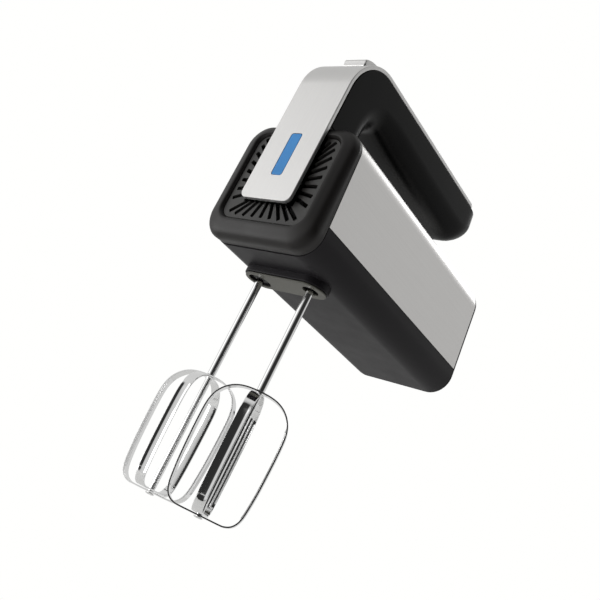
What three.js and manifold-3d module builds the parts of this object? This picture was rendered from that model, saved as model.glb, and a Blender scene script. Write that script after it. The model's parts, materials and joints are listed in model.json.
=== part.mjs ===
// Two-beater hand mixer. Millimetres, +Z up, front towards -Y, measured from the centre of the grip.
// Below, each piece is placed in the working frame: beater axes on Y = 0, socket face on Z = 0.
import * as THREE from 'three';
import { mergeVertices } from 'three/addons/utils/BufferGeometryUtils.js';
import Module from 'manifold-3d';

const wasm = await Module();
wasm.setup();

// Driving dimensions
const GRIP_Y = 60;
const GRIP_Z = 136;
const BEATER_X = 22;
const GAP = 0.3;
// motor body
const HALF = 45;
const BOTTOM = 5.7;
const TOP = 90.3;
const SPLIT_Z = 27.5;
const FLOOR_R_FRONT = 16;
const FLOOR_R_REAR = 17;
const TOP_R = 14.7;
const WALL = 2.5;
const STEEL_T = 0.8;
const CAP_T = 2;
// handle
const GRIP_HALF = 20.9;
const STRAP_OUT_Y = -52.3;
const STRAP_T = 2.7;
const BEND_Y = -20;
const BEND_Z = 121;
const BEND_R = 29.3;
const GRIP_TOP = BEND_Z + BEND_R;
const STRAP_LOW_Z = 32;
const STRAP_END_Y = 133;
// drive
const AXIS_Z = 48;
const WHEEL_TEETH = 34;
const WHEEL_TIP_R = 17.8;
const WHEEL_ROOT_R = 15.7;
const WORM_PITCH = Math.PI;
const WORM_R = 5.8;
const WORM_ROOT_R = 3.5;
const SHAFT_R = 3;
const SPINDLE_R = 4.95;
const SOCKET_R = 2.95;
const WHEEL_LOW = 45;
const WHEEL_HIGH = 51;
// beaters
const BEATER_R = 2.6;
const BEATER_NECK_R = 2;
const BEATER_TOP = 36;
const LOOP_TOP = -70.6;
const LOOP_LOW = -151.2;
const STRIP_W = 6.5;
const STRIP_T = 0.9;
const LOOP_LEFT_TURN = 18;
const LOOP_RIGHT_TURN = 34;
// Outside of one loop from the shaft's top to its tip: distance from the axis, height.
const LOOP_SIDE = [[3.4, -70.8], [8, -71.2], [12.8, -72.3], [17.4, -74.5], [21.4, -78], [24.2, -82.2], [25.8, -87],
  [26.5, -93], [26.6, -104], [26.3, -116], [25.8, -127], [25, -136], [24.2, -141.6], [22.7, -146], [20, -149.2],
  [16.2, -150.9], [12, -151.2], [3.4, -151.2]];

const BLACK = [0x1e1d1f, 0.45, 0];
const STEEL = [0xaeaba7, 0.35, 1];
const SILVER = [0xd8d7d3, 0.35, 0.6];
const OLIVE = [0x6b6b62, 0.5, 0];
const CHROME = [0xe2e2e2, 0.12, 1];
const NYLON = [0x3a3a3c, 0.55, 0];
const COPPER = [0xb4683a, 0.4, 1];
const IRON = [0x6f7073, 0.5, 1];
const BRONZE = [0xa9803f, 0.4, 1];

// ---------- geometry helpers ----------

function frontY(z) {
  return -33.8 - 0.07 * z;
}

function rearY(z) {
  return 164.2 - 0.13 * z;
}

function capTriangles(ring, base) {
  const u = new THREE.Vector3(0, 0, 0);
  const p = ring.map((q) => new THREE.Vector3(q[0], q[1], q[2]));
  p.forEach((a, i) => {
    const b = p[(i + 1) % p.length];
    u.x += (a.y - b.y) * (a.z + b.z);
    u.y += (a.z - b.z) * (a.x + b.x);
    u.z += (a.x - b.x) * (a.y + b.y);
  });
  u.normalize();
  const side = Math.abs(u.x) > 0.9 ? new THREE.Vector3(0, 1, 0) : new THREE.Vector3(1, 0, 0);
  const e1 = side.clone().sub(u.clone().multiplyScalar(side.dot(u))).normalize();
  const e2 = u.clone().cross(e1);
  const flat = p.map((q) => new THREE.Vector2(q.dot(e1), q.dot(e2)));
  return THREE.ShapeUtils.triangulateShape(flat, []).map((t) => t.map((i) => i + base));
}

function fromArrays(points, triangles) {
  let volume = 0;
  triangles.forEach(([a, b, c]) => {
    const A = points[a];
    const B = points[b];
    const C = points[c];
    volume += A[0] * (B[1] * C[2] - B[2] * C[1]) - A[1] * (B[0] * C[2] - B[2] * C[0]);
    volume += A[2] * (B[0] * C[1] - B[1] * C[0]);
  });
  const index = volume < 0 ? triangles.map(([a, b, c]) => [a, c, b]) : triangles;
  const geometry = new THREE.BufferGeometry();
  geometry.setAttribute('position', new THREE.Float32BufferAttribute(points.flat(), 3));
  geometry.setIndex(index.flat());
  return geometry;
}

// Skin through rings with the same number of points; capped at both ends, or closed on itself.
function loft(rings, closed = false) {
  const n = rings[0].length;
  const points = rings.flat();
  const triangles = [];
  const last = closed ? rings.length : rings.length - 1;
  for (let i = 0; i < last; i += 1) {
    const a = i * n;
    const b = ((i + 1) % rings.length) * n;
    for (let j = 0; j < n; j += 1) {
      const k = (j + 1) % n;
      triangles.push([a + j, a + k, b + k], [a + j, b + k, b + j]);
    }
  }
  if (!closed) {
    const low = capTriangles(rings[0], 0);
    const high = capTriangles(rings[rings.length - 1], (rings.length - 1) * n);
    const used = new Set(triangles.map(([a, b]) => `${a}>${b}`));
    const fix = (t) => {
      const edges = [[t[0], t[1]], [t[1], t[2]], [t[2], t[0]]];
      return edges.some(([a, b]) => used.has(`${a}>${b}`));
    };
    [low, high].forEach((cap) => {
      const flip = cap.some(fix);
      cap.forEach(([a, b, c]) => triangles.push(flip ? [a, c, b] : [a, b, c]));
    });
  }
  return fromArrays(points, triangles);
}

// Turned piece about +Z from [radius, z] points; a profile off the axis closes on itself.
function turned(profile, n = 24) {
  const solidPiece = profile[0][0] === 0;
  const used = profile.filter(([r]) => r > 0);
  const rings = used.map(([r, z]) => {
    const ring = [];
    for (let i = 0; i < n; i += 1) {
      const a = (i * 2 * Math.PI) / n;
      ring.push([r * Math.cos(a), r * Math.sin(a), z]);
    }
    return ring;
  });
  return loft(rings, !solidPiece);
}

function rod(r, z0, z1, n = 24) {
  return turned([[0, z0], [r, z0], [r, z1], [0, z1]], n);
}

function tube(rIn, rOut, z0, z1, n = 24) {
  return turned([[rIn, z0], [rOut, z0], [rOut, z1], [rIn, z1]], n);
}

function block(x0, x1, y0, y1, z0, z1) {
  const g = new THREE.BoxGeometry(x1 - x0, y1 - y0, z1 - z0);
  return g.translate((x0 + x1) / 2, (y0 + y1) / 2, (z0 + z1) / 2);
}

function toSolid(geometry) {
  const plain = geometry.clone();
  plain.deleteAttribute('normal');
  plain.deleteAttribute('uv');
  const merged = mergeVertices(plain, 1e-4);
  const vertProperties = new Float32Array(merged.attributes.position.array);
  const triVerts = new Uint32Array(merged.index.array);
  return new wasm.Manifold(new wasm.Mesh({ numProp: 3, vertProperties, triVerts }));
}

function toGeometry(body) {
  const mesh = body.getMesh();
  const geometry = new THREE.BufferGeometry();
  geometry.setAttribute('position', new THREE.Float32BufferAttribute(mesh.vertProperties, 3));
  geometry.setIndex(Array.from(mesh.triVerts));
  return geometry;
}

function join(...parts) {
  return toGeometry(parts.map(toSolid).reduce((a, b) => a.add(b)));
}

function cut(base, ...tools) {
  return toGeometry(tools.map(toSolid).reduce((a, b) => a.subtract(b), toSolid(base)));
}

function along(geometry, x, y, z) {
  return geometry.clone().translate(x, y, z);
}

// Turns a piece built about +Z so that it runs along +Y through (x, z).
function alongY(geometry, x, z) {
  return geometry.clone().rotateX(-Math.PI / 2).translate(x, 0, z);
}

// Turns a piece built about +Z so that it runs along +X through (y, z).
function alongX(geometry, y, z) {
  return geometry.clone().rotateY(Math.PI / 2).translate(0, y, z);
}

function corner(cx, cz, r, from, to, n) {
  const points = [];
  for (let i = 0; i <= n; i += 1) {
    const a = THREE.MathUtils.degToRad(from + ((to - from) * i) / n);
    points.push([cx + r * Math.cos(a), cz + r * Math.sin(a)]);
  }
  return points;
}

function roundRect(half, z0, z1, rLow, rHigh, n = 5) {
  return [
    ...corner(half - rLow, z0 + rLow, rLow, -90, 0, n),
    ...corner(half - rHigh, z1 - rHigh, rHigh, 0, 90, n),
    ...corner(-half + rHigh, z1 - rHigh, rHigh, 90, 180, n),
    ...corner(-half + rLow, z0 + rLow, rLow, 180, 270, n),
  ];
}

function stadium(half, halfDepth, n = 8) {
  const c = half - halfDepth;
  return [...corner(c, 0, halfDepth, -90, 90, n), ...corner(-c, 0, halfDepth, 90, 270, n)];
}

function onPlane(outline, yOf) {
  return outline.map(([x, z]) => [x, yOf(z), z]);
}

function upright(outline, z0, z1) {
  return loft([outline.map(([x, y]) => [x, y, z0]), outline.map(([x, y]) => [x, y, z1])]);
}

function helix(r, pitch, turns, wire, n, sides) {
  const rings = [];
  const count = Math.round(turns * n);
  for (let i = 0; i <= count; i += 1) {
    const a = (i * 2 * Math.PI) / n;
    const ring = [];
    for (let j = 0; j < sides; j += 1) {
      const b = (j * 2 * Math.PI) / sides;
      const rr = r + wire * Math.cos(b);
      ring.push([rr * Math.cos(a), rr * Math.sin(a), (pitch * i) / n + wire * Math.sin(b)]);
    }
    rings.push(ring);
  }
  return loft(rings);
}

function place(parent, name, geometry, look) {
  const [color, roughness, metalness] = look;
  const material = new THREE.MeshStandardMaterial({ color, roughness, metalness, flatShading: true });
  const mesh = new THREE.Mesh(geometry, material);
  mesh.name = name;
  parent.add(mesh);
  return mesh;
}

// ---------- motor body ----------

// U-shaped section of the tub: outside from left to right, then back along the inside.
function tubSection(r, yOf) {
  const inner = WALL;
  const outline = [
    [-HALF, SPLIT_Z - GAP],
    ...corner(-HALF + r, BOTTOM + r, r, 180, 270, 5),
    ...corner(HALF - r, BOTTOM + r, r, -90, 0, 5),
    [HALF, SPLIT_Z - GAP],
    [HALF - inner, SPLIT_Z - GAP],
    ...corner(HALF - r, BOTTOM + r, r - inner, 0, -90, 5),
    ...corner(-HALF + r, BOTTOM + r, r - inner, 270, 180, 5),
    [-HALF + inner, SPLIT_Z - GAP],
  ];
  return onPlane(outline, yOf);
}

function lowerHousing() {
  const skin = loft([tubSection(FLOOR_R_FRONT, frontY), tubSection(FLOOR_R_REAR, (z) => rearY(z) - CAP_T - GAP)]);
  const boss = upright(stadium(33.6, 11.6), 1.3, 7);
  const posts = [];
  [-34, 34].forEach((x) => [-20, 14].forEach((y) => posts.push(along(rod(4, 10, 32.7, 12), x, y, 0))));
  const holes = [-34, 34].flatMap((x) => [-20, 14].map((y) => along(rod(1.6, 22, 40, 8), x, y, 0)));
  const bores = [along(rod(8.6, -1, 12, 24), -BEATER_X, 0, 0), along(rod(6.6, -1, 12, 24), BEATER_X, 0, 0)];
  const lugs = [-28, 28].map((x) => block(x - 5, x + 5, 141, 152.8, 7.6, 27));
  const taps = [-28, 28].map((x) => alongY(rod(1.6, 143, 160, 8), x, 22));
  return cut(join(skin, boss, ...posts, ...lugs), ...holes, ...bores, ...taps);
}

function socketPlate() {
  const plate = upright(stadium(32.6, 10.6), 0, 1.0);
  return cut(plate, along(rod(8, -2, 4), -BEATER_X, 0, 0), along(rod(5.6, -2, 4), BEATER_X, 0, 0));
}

// Inverted U section, open downwards.
function hoodSection(half, top, r, t, low, yOf) {
  const outline = [
    [half, low],
    ...corner(half - r, top - r, r, 0, 90, 5),
    ...corner(-half + r, top - r, r, 90, 180, 5),
    [-half, low],
    [-half + t, low],
    ...corner(-half + r, top - r, r - t, 180, 90, 5),
    ...corner(half - r, top - r, r - t, 90, 0, 5),
    [half - t, low],
  ];
  return onPlane(outline, yOf);
}

function handlePassage() {
  return block(-7, 7, -36.5, -22.5, 80, 99);
}

function handleScrewHoles(r) {
  return [-14, 14].map((x) => along(rod(r, 80, 95, 10), x, -27, 0));
}

function steelCover() {
  const rear = (z) => rearY(z) - CAP_T - GAP;
  const front = hoodSection(HALF, TOP, TOP_R, STEEL_T, SPLIT_Z + 0.1, frontY);
  const back = hoodSection(HALF, TOP, TOP_R, STEEL_T, SPLIT_Z + 0.1, rear);
  return cut(loft([front, back]), handlePassage(), ...handleScrewHoles(1.9));
}

function upperHousing() {
  const inset = STEEL_T + GAP;
  const rear = (z) => rearY(z) - CAP_T - GAP;
  const front = hoodSection(HALF - inset, TOP - inset, TOP_R - inset, 2, SPLIT_Z + 0.1, frontY);
  const back = hoodSection(HALF - inset, TOP - inset, TOP_R - inset, 2, SPLIT_Z + 0.1, rear);
  return cut(loft([front, back]), handlePassage(), ...handleScrewHoles(1.9));
}

function frontBezel() {
  const rear = (z) => frontY(z) - GAP;
  const rings = [
    onPlane(roundRect(HALF, 6.2, TOP, 15.5, TOP_R), rear),
    onPlane(roundRect(45.2, 5.9, TOP, 15.5, 15), (z) => -42.6 - 0.005 * z),
    onPlane(roundRect(43.2, 8.6, 89.6, 15, 14.5), () => -46.6),
    onPlane(roundRect(39, 14, 87, 12.5, 12.5), () => -48.6),
    onPlane(roundRect(37.2, 16, 85.3, 11, 11), () => -49.1),
    onPlane(roundRect(35.8, 17.4, 84, 9.5, 9.5), () => -49.0),
    onPlane(roundRect(34.6, 18.6, 82.9, 8.4, 8.4), () => -47.6),
    onPlane(roundRect(34.3, 18.9, 82.6, 8.2, 8.2), () => -42.0),
    onPlane(roundRect(39.5, 12.5, 86.8, 10, 10), () => -42.0),
    onPlane(roundRect(42.4, 8.9, 87.7, 12.5, 12), rear),
  ];
  return cut(loft(rings, true), block(-20.6, 20.6, -60, -44.2, 76, 95));
}

// Louvre slots fan out from behind the strap end.
function grilleSlots() {
  const slots = [];
  const centreZ = 46;
  const marks = [];
  for (let i = 0; i < 9; i += 1) marks.push([21, 75.5 - i * 4.75]);
  for (let i = 0; i < 9; i += 1) marks.push([-18 + i * 4.5, 31.5]);
  for (let i = 0; i < 9; i += 1) marks.push([-21, 75.5 - i * 4.75]);
  marks.forEach(([x, z]) => {
    const a = Math.atan2(z - centreZ, x);
    const dx = Math.cos(a);
    const dz = Math.sin(a);
    const toSide = Math.abs(dx) > 1e-6 ? (31.6 - Math.abs(x)) / Math.abs(dx) : 99;
    const toEnd = dz < 0 ? (z - 21.4) / -dz : (80.1 - z) / dz;
    const reach = Math.min(toSide, toEnd, 13);
    const start = -2.2;
    const slot = block(start, reach, -50, -38, -1.3, 1.3);
    slot.rotateY(-a).translate(x, 0, z);
    slots.push(slot);
  });
  return slots;
}

function ventGrille() {
  const outline = roundRect(34, 19.2, 82.3, 7.9, 7.9, 4);
  const plate = loft([onPlane(outline, () => -46.9), onPlane(outline, () => -42.3)]);
  const tonguePocket = block(-20.7, 20.7, -60, -44.3, 32.1, 95);
  return cut(plate, tonguePocket, ...grilleSlots());
}

function rearCap() {
  const outline = roundRect(HALF, BOTTOM, TOP, FLOOR_R_REAR, TOP_R);
  const plate = loft([onPlane(outline, rearY), onPlane(outline, (z) => rearY(z) - CAP_T)]);
  const rim = roundRect(41.4, 8.9, 86.6, 14, 10.6);
  const inner = roundRect(39.9, 10.4, 85.1, 12.5, 9.1);
  const near = (z) => rearY(z) - CAP_T + 0.2;
  const far = (z) => rearY(z) - CAP_T - 6;
  const spigot = loft([onPlane(rim, near), onPlane(rim, far), onPlane(inner, far), onPlane(inner, near)], true);
  const face = rearY(22);
  const bosses = [-28, 28].map((x) => alongY(rod(5, face - 8, face - 1.2, 16), x, 22));
  const sinks = [-28, 28].map((x) => alongY(rod(3.3, face - 3.2, face + 5, 16), x, 22));
  const holes = [-28, 28].map((x) => alongY(rod(1.8, 130, 180, 8), x, 22));
  return cut(join(plate, spigot, ...bosses), ...sinks, ...holes);
}

// ---------- handle ----------

function handleStations() {
  const list = [
    [-49.3, 90.6, -13.1, 90.6, GRIP_HALF],
    [-49.3, 104, -13.1, 102, GRIP_HALF],
    [-49.3, 117, -13.1, 109, GRIP_HALF],
  ];
  for (let a = 165; a >= 90; a -= 15) {
    const c = Math.cos(THREE.MathUtils.degToRad(a));
    const s = Math.sin(THREE.MathUtils.degToRad(a));
    list.push([BEND_Y + BEND_R * c, BEND_Z + BEND_R * s, 1 + 14 * c, 108 + 14 * s, GRIP_HALF]);
  }
  [[5, 14, 121.3], [30, 33, 120], [60, 61, 119], [90, 91, 118.3], [112, 112, 118]].forEach(([o, i, z]) => {
    list.push([o, GRIP_TOP, i, z, GRIP_HALF]);
  });
  list.push([124, GRIP_TOP, 126, 118.3, GRIP_HALF]);
  list.push([130.5, GRIP_TOP, 133, 120.6, 20.7]);
  list.push([135.5, 149.6, 138.5, 124.6, 19.8]);
  list.push([139.2, 147.8, 142, 129.6, 17.8]);
  list.push([141.8, 145, 143.6, 134.4, 14.6]);
  list.push([142.9, 142.6, 143.9, 137.6, 11]);
  return list;
}

// D-shaped ring between the strap line and the finger side.
function gripRing([oy, oz, iy, iz, half], inset, lift) {
  const depth = Math.hypot(iy - oy, iz - oz);
  const dy = (iy - oy) / depth;
  const dz = (iz - oz) / depth;
  const w = half - inset;
  const d = depth - inset;
  const r = Math.min(16.5 - inset * 0.6, w * 0.8, d * 0.6);
  const flat = [
    [-w, -lift],
    ...corner(-w + r, d - r, r, 180, 90, 5),
    ...corner(w - r, d - r, r, 90, 0, 5),
    [w, -lift],
  ];
  return flat.map(([x, t]) => [x, oy + dy * t, oz + dz * t]);
}

function handleShell() {
  const stations = handleStations();
  const body = loft(stations.map((s) => gripRing(s, 0, 0)));
  const rest = stations.slice(3, stations.length - 4);
  const foot = [-49.3, 97, -13.1, 97, GRIP_HALF];
  const hollow = loft([foot, ...rest].map((s) => gripRing(s, 3, 2)));
  const tongueFace = roundRect(20.4, STRAP_LOW_Z + 0.4, 91, 4, 0.5, 3);
  const tongue = loft([onPlane(tongueFace, () => -49.3), onPlane(tongueFace, () => -44.6)]);
  const pocket = block(-5.2, 5.2, -52, -46.3, 48, 84);
  const passage = handlePassage();
  return cut(join(body, tongue), hollow, pocket, passage, ...handleScrewHoles(1.8));
}

function strapRing(oy, oz, ny, nz, half) {
  const low = GAP;
  const high = GAP + STRAP_T;
  const flat = [
    [-half, low],
    [-half, high - 0.5],
    [-half + 0.5, high],
    [half - 0.5, high],
    [half, high - 0.5],
    [half, low],
  ];
  return flat.map(([x, t]) => [x, oy + ny * t, oz + nz * t]);
}

function handleStrap() {
  const rings = [];
  const ends = [[0, 5], [0.6, 2.9], [2.2, 1.1], [4.6, 0]];
  ends.forEach(([d, w]) => rings.push(strapRing(-49.3, STRAP_LOW_Z + d, -1, 0, GRIP_HALF - w)));
  rings.push(strapRing(-49.3, 90, -1, 0, GRIP_HALF));
  for (let a = 180; a >= 90; a -= 7.5) {
    const c = Math.cos(THREE.MathUtils.degToRad(a));
    const s = Math.sin(THREE.MathUtils.degToRad(a));
    rings.push(strapRing(BEND_Y + BEND_R * c, BEND_Z + BEND_R * s, c, s, GRIP_HALF));
  }
  rings.push(strapRing(60, GRIP_TOP, 0, 1, GRIP_HALF));
  [...ends].reverse().forEach(([d, w]) => {
    rings.push(strapRing(STRAP_END_Y - d * 1.6, GRIP_TOP, 0, 1, GRIP_HALF - w * 1.4));
  });
  const window = loft([onPlane(lensOutline(0.3), () => -56), onPlane(lensOutline(0.3), () => -48)]);
  return cut(loft(rings), window, sliderSlot());
}

function lensOutline(extra) {
  return roundRect(4.3 + extra, 50 - extra, 81.4 + extra, 1.7 + extra, 1.7 + extra, 4);
}

function indicatorLens() {
  const outline = lensOutline(0);
  return loft([onPlane(outline, () => STRAP_OUT_Y), onPlane(outline, () => -49.7)]);
}

// Slot of the speed slider through the strap, following the bend.
function bendBar(x, r0, r1, a0, a1, n) {
  const rings = [];
  for (let i = 0; i <= n; i += 1) {
    const a = THREE.MathUtils.degToRad(a0 + ((a1 - a0) * i) / n);
    const c = Math.cos(a);
    const s = Math.sin(a);
    const flat = [[-x, r0], [x, r0], [x, r1], [-x, r1]];
    rings.push(flat.map(([px, r]) => [px, BEND_Y + r * c, BEND_Z + r * s]));
  }
  return loft(rings);
}

function sliderSlot() {
  return bendBar(2.4, 27, 36, 120.5, 98.5, 3);
}

function speedSlider() {
  const base = BEND_R + GAP + STRAP_T;
  const rings = [];
  const shape = [[120.8, 0.45, 8.2, 2.2], [117, 0.45, 9.2, 4.9], [104, 0.45, 9.2, 5.9], [89.5, 0.45, 8.8, 5.8],
    [86, 0.45, 8, 3.4]];
  shape.forEach(([deg, low, half, high]) => {
    const a = THREE.MathUtils.degToRad(deg);
    const c = Math.cos(a);
    const s = Math.sin(a);
    const flat = [[-half, base + low], [-half, base + high - 1], [-half + 1.2, base + high], [half - 1.2, base + high],
      [half, base + high - 1], [half, base + low]];
    rings.push(flat.map(([px, r]) => [px, BEND_Y + r * c, BEND_Z + r * s]));
  });
  const stem = bendBar(2, 25.5, base + 1.5, 107.5, 99.5, 1);
  return join(loft(rings), stem);
}

function speedSwitch() {
  const body = block(-8, 8, -36, -18, 121, 137);
  const track = block(-1.6, 1.6, -34, -20, 136, 140.5);
  const lugs = block(-12, 12, -31, -23, 121, 123.5);
  return join(body, track, lugs);
}

function ledBoard() {
  const parts = [block(-3.6, 3.6, -47.8, -46.8, 50, 82)];
  for (let i = 0; i < 3; i += 1) parts.push(block(-1.5, 1.5, -48.9, -47.5, 55 + i * 9.5, 58 + i * 9.5));
  return join(...parts);
}

function controlBoard() {
  const parts = [block(-13, 13, 18, 84, 130, 131.6)];
  parts.push(block(-10, -2, 24, 40, 131, 141));
  parts.push(block(2, 10, 24, 34, 131, 138));
  parts.push(block(-9, 9, 48, 60, 131, 136));
  parts.push(alongX(rod(4, -8, 8, 12), 72, 136));
  parts.push(block(-8, 8, 70, 74, 131, 136));
  return join(...parts);
}

// ---------- drive ----------

function gearFrame() {
  const base = block(-38.5, 38.5, -24, 24.5, 33, 36);
  const front = block(-9.6, 9.6, -26, -18, 34, 62);
  const rear = block(-34, 34, 20.5, 24.5, 34, 62);
  const bosses = [-BEATER_X, BEATER_X].map((x) => along(rod(8.2, 12, 35), x, 0, 0));
  const bores = [-BEATER_X, BEATER_X].map((x) => along(rod(6.45, 0, 50), x, 0, 0));
  const pocket = alongY(rod(8.3, -24.2, -10), 0, AXIS_Z);
  const shaft = alongY(rod(4, 10, 40), 0, AXIS_Z);
  const feet = [-34, 34].flatMap((x) => [-20, 14].map((y) => along(rod(1.8, 25, 40, 8), x, y, 0)));
  const bolts = [-29.5, 29.5].map((x) => alongY(rod(2.1, 15, 30, 10), x, AXIS_Z));
  const taps = [[-30, 22.5], [30, 22.5]].map(([x, y]) => along(rod(1.6, 54, 70, 8), x, y, 0));
  return cut(join(base, front, rear, ...bosses), ...bores, pocket, shaft, ...feet, ...bolts, ...taps);
}

function gearCover() {
  const plate = block(-34, 34, -24, 24.5, 62.3, 64.6);
  const bores = [-BEATER_X, BEATER_X].map((x) => along(rod(5.2, 55, 70), x, 0, 0));
  const holes = [[-30, 22.5], [30, 22.5]].map(([x, y]) => along(rod(1.7, 55, 70, 8), x, y, 0));
  return cut(plate, ...bores, ...holes);
}

function wheelOutline(phase) {
  const points = [];
  for (let i = 0; i < WHEEL_TEETH; i += 1) {
    const a = ((i + phase) * 2 * Math.PI) / WHEEL_TEETH;
    const root = 0.55 / WHEEL_ROOT_R;
    const tip = 0.32 / WHEEL_TIP_R;
    points.push([WHEEL_ROOT_R, a - root]);
    points.push([WHEEL_TIP_R, a - tip]);
    points.push([WHEEL_TIP_R, a + tip]);
    points.push([WHEEL_ROOT_R, a + root]);
  }
  return points.map(([r, a]) => [r * Math.cos(a), r * Math.sin(a)]);
}

function spindleGear(phase) {
  const wheel = upright(wheelOutline(phase), WHEEL_LOW, WHEEL_HIGH);
  const hub = rod(8, 41, 55, 16);
  const sleeve = rod(SPINDLE_R, 6, 66, 20);
  return cut(join(wheel, hub, sleeve), rod(SOCKET_R, 0, 80, 20));
}

function worm() {
  const rings = [];
  const perTurn = 10;
  const turns = 5;
  const count = perTurn * turns;
  for (let i = 0; i <= count; i += 1) {
    const a = (i / perTurn) * 2 * Math.PI - turns * Math.PI;
    const y = (WORM_PITCH * a) / (2 * Math.PI);
    const grow = Math.min(1, i / 4, (count - i) / 4);
    const tip = WORM_ROOT_R - 0.2 + (WORM_R - WORM_ROOT_R + 0.2) * Math.max(grow, 0.12);
    const flat = [[WORM_ROOT_R - 0.5, -0.62], [tip, -0.32], [tip, 0.32], [WORM_ROOT_R - 0.5, 0.62]];
    rings.push(flat.map(([r, w]) => [r * Math.cos(a), y + w, r * Math.sin(a)]));
  }
  return loft(rings);
}

function armatureShaft() {
  const profile = [[0, -23.6], [SHAFT_R, -23.6], [SHAFT_R, -15], [WORM_ROOT_R, -14], [WORM_ROOT_R, 14], [SHAFT_R, 15],
    [SHAFT_R, 120], [0, 120]];
  return join(alongY(turned(profile), 0, 0), worm());
}

function armatureCore() {
  const slots = 12;
  const outline = [];
  for (let i = 0; i < slots; i += 1) {
    const a = (i * 2 * Math.PI) / slots;
    const mouth = 1.1 / 16.3;
    const step = (2 * Math.PI) / slots;
    outline.push([11, a - 0.1], [11, a + 0.1], [16.3, a + mouth], [16.3, a + step / 2], [16.3, a + step - mouth]);
  }
  const ring = outline.map(([r, a]) => [r * Math.cos(a), r * Math.sin(a)]);
  return cut(alongY(upright(ring, 60, 86), 0, 0), alongY(rod(3.3, 50, 100), 0, 0));
}

function winding(y0, y1) {
  const m = (y0 + y1) / 2;
  return alongY(turned([[3.4, y0], [11.5, y0], [14.4, m - 1.4], [14.4, m + 1.4], [11.5, y1], [3.4, y1]], 20), 0, 0);
}

function commutator() {
  const profile = [[3.3, 96.6], [11, 96.6], [11, 98.4], [9, 98.8], [9, 110.5], [3.3, 110.5]];
  return alongY(turned(profile), 0, 0);
}

function coolingFan() {
  const hub = rod(7, 31, 42, 16);
  const disc = rod(25, 31, 32.6, 24);
  const blades = [];
  for (let i = 0; i < 8; i += 1) {
    blades.push(block(6, 24.4, -0.7, 0.7, 32, 41).rotateZ((i * Math.PI) / 4));
  }
  return alongY(cut(join(hub, disc, ...blades), rod(3.3, 20, 50)), 0, 0);
}

function fieldCore() {
  const body = block(-33, 33, 60, 86, 24, 72);
  const bore = alongY(rod(17.2, 50, 100, 36), 0, AXIS_Z);
  const slots = [];
  [-1, 1].forEach((sx) => [-1, 1].forEach((sz) => {
    const x = sx * 23.5;
    const z = AXIS_Z + sz * 19;
    slots.push(block(x - 4, x + 4, 50, 100, z - 3.8, z + 3.8));
  }));
  const bolts = [-29.5, 29.5].map((x) => alongY(rod(2.2, 50, 100, 10), x, AXIS_Z));
  return cut(body, bore, ...slots, ...bolts);
}

function fieldCoil(side) {
  const x0 = side > 0 ? 20 : -27;
  const outer = block(x0, x0 + 7, 54, 92, AXIS_Z - 22.3, AXIS_Z + 22.3);
  return cut(outer, block(x0 - 5, x0 + 12, 59.5, 86.5, AXIS_Z - 15.7, AXIS_Z + 15.7));
}

function rearBracket() {
  const plate = block(-34, 34, 118.8, 121.8, 36, 60);
  const cup = alongY(rod(10.8, 112.3, 120), 0, AXIS_Z);
  const arms = [-1, 1].map((s) => block(Math.min(s * 13, s * 27), Math.max(s * 13, s * 27), 99, 120, 39.5, 43.2));
  const seat = alongY(rod(8.3, 105, 118.8), 0, AXIS_Z);
  const clear = alongY(rod(4, 105, 130), 0, AXIS_Z);
  const bolts = [-29.5, 29.5].map((x) => alongY(rod(2.2, 100, 130, 10), x, AXIS_Z));
  return cut(join(plate, cup, ...arms), seat, clear, ...bolts);
}

function brushHolder(side) {
  const x0 = side > 0 ? 12.5 : -27;
  return cut(block(x0, x0 + 14.5, 99.5, 108.5, 43.5, 52.5), block(-40, 40, 100.7, 107.3, 44.7, 51.3));
}

function brush(side) {
  const x0 = side > 0 ? 9.6 : -19.6;
  return block(x0, x0 + 10, 101, 107, 45, 51);
}

function brushSpring(side) {
  const coil = helix(2.2, 1.5, 4, 0.35, 8, 3);
  const x = side > 0 ? 20.3 : -26.8;
  return alongX(coil, 104, AXIS_Z).translate(x, 0, 0);
}

function ejectorYoke() {
  const bar = block(-25, 25, -3, 3, 74, 76.5);
  const stem = block(-3, 3, -33, 0, 74, 76.5);
  const post = along(rod(2.6, 75, 116, 12), 0, -30, 0);
  const pins = [-BEATER_X, BEATER_X].map((x) => along(rod(2.3, 42, 75, 12), x, 0, 0));
  return join(bar, stem, post, ...pins);
}

function ejectorSpring() {
  return helix(3.4, 2, 4, 0.4, 9, 3);
}

function screw(length) {
  return turned([[0, -length], [1.3, -length], [1.3, 0], [2.9, 0], [2.9, 1.2], [1.9, 2], [0, 2]], 8);
}

// ---------- beaters ----------

function beaterShaft() {
  return turned([[0, LOOP_LOW - 1.4], [1.6, LOOP_LOW - 1.4], [2.9, LOOP_LOW - 0.9], [2.9, LOOP_LOW - 0.3],
    [BEATER_NECK_R, LOOP_LOW - 0.3], [BEATER_NECK_R, LOOP_TOP + 0.3], [BEATER_R, LOOP_TOP + 0.3],
    [BEATER_R, BEATER_TOP - 2], [BEATER_R - 1, BEATER_TOP], [0, BEATER_TOP]], 16);
}

// Centre line of one loop in the (radius, z) plane, moved inwards by the inset.
function loopPath(inset) {
  const n = LOOP_SIDE.length;
  const side = LOOP_SIDE.map(([r, z], i) => {
    const a = LOOP_SIDE[Math.max(i - 1, 0)];
    const b = LOOP_SIDE[Math.min(i + 1, n - 1)];
    const l = Math.hypot(b[0] - a[0], b[1] - a[1]);
    const move = STRIP_T / 2 + inset;
    const last = i === 0 || i === n - 1;
    return [last ? r : r + (move * (b[1] - a[1])) / l, z - (move * (b[0] - a[0])) / l];
  });
  return [...side, ...[...side].reverse().map(([r, z]) => [-r, z])];
}

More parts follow.
